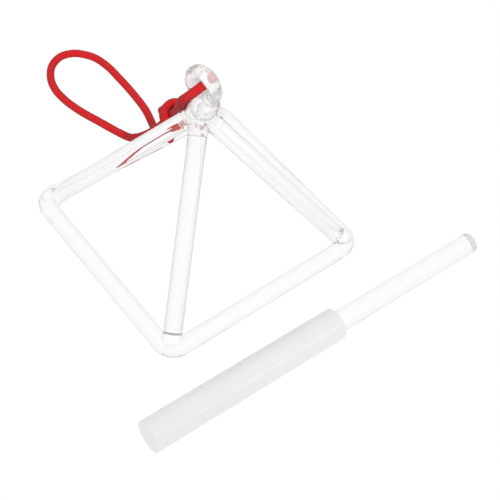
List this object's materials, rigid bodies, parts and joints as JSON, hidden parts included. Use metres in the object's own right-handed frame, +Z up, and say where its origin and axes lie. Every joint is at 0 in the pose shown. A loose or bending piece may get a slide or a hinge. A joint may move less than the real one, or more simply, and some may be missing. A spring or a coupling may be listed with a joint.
{
  "type": "singing pyramid",
  "caption": "Open square pyramid of clear solid quartz rods with a ring and a red carrying loop at the apex, and a clear rod mallet with a silicone sleeve, struck to ring like a chime.",
  "frame": {"origin": "on the table, under the apex, at the middle of the square base", "axes": "+X along the front base rod, +Y towards the back where the cord hangs, +Z up"},
  "size_m": [0.2203, 0.2747, 0.1263],
  "materials": {
    "quartz": "fire-polished clear",
    "cord": "braided polyester",
    "mallet_rod": "clear polished",
    "mallet_sleeve": "translucent matte silicone"
  },
  "bodies": {
    "frame": {"base_rod_front": "quartz", "base_rod_back": "quartz", "base_rod_left": "quartz", "base_rod_right": "quartz", "corner_bend_front_left": "quartz", "corner_bend_front_right": "quartz", "corner_bend_back_left": "quartz", "corner_bend_back_right": "quartz", "foot_weld_front_left": "quartz", "foot_weld_front_right": "quartz", "foot_weld_back_left": "quartz", "foot_weld_back_right": "quartz", "leg_front_left": "quartz", "leg_front_right": "quartz", "leg_back_left": "quartz", "leg_back_right": "quartz", "apex_hub": "quartz", "hanging_ring": "quartz"},
    "cord": {"cord_ring_loop": "cord", "cord_knot": "cord", "cord_ends": "cord", "cord_hand_loop": "cord"},
    "mallet": {"mallet_rod": "mallet_rod", "mallet_sleeve": "mallet_sleeve"}
  },
  "joints": [
    {"name": "cord_swing", "type": "hinge", "parent": "frame", "child": "cord", "pos_m": [0, -0.0015, 0.1148], "axis": [0.9781, 0.2079, 0], "range_deg": [0, 125]},
    {"name": "mallet_lift", "type": "slide", "parent": "frame", "child": "mallet", "axis": [0, 0, 1], "range_m": [0, 0.15]}
  ]
}
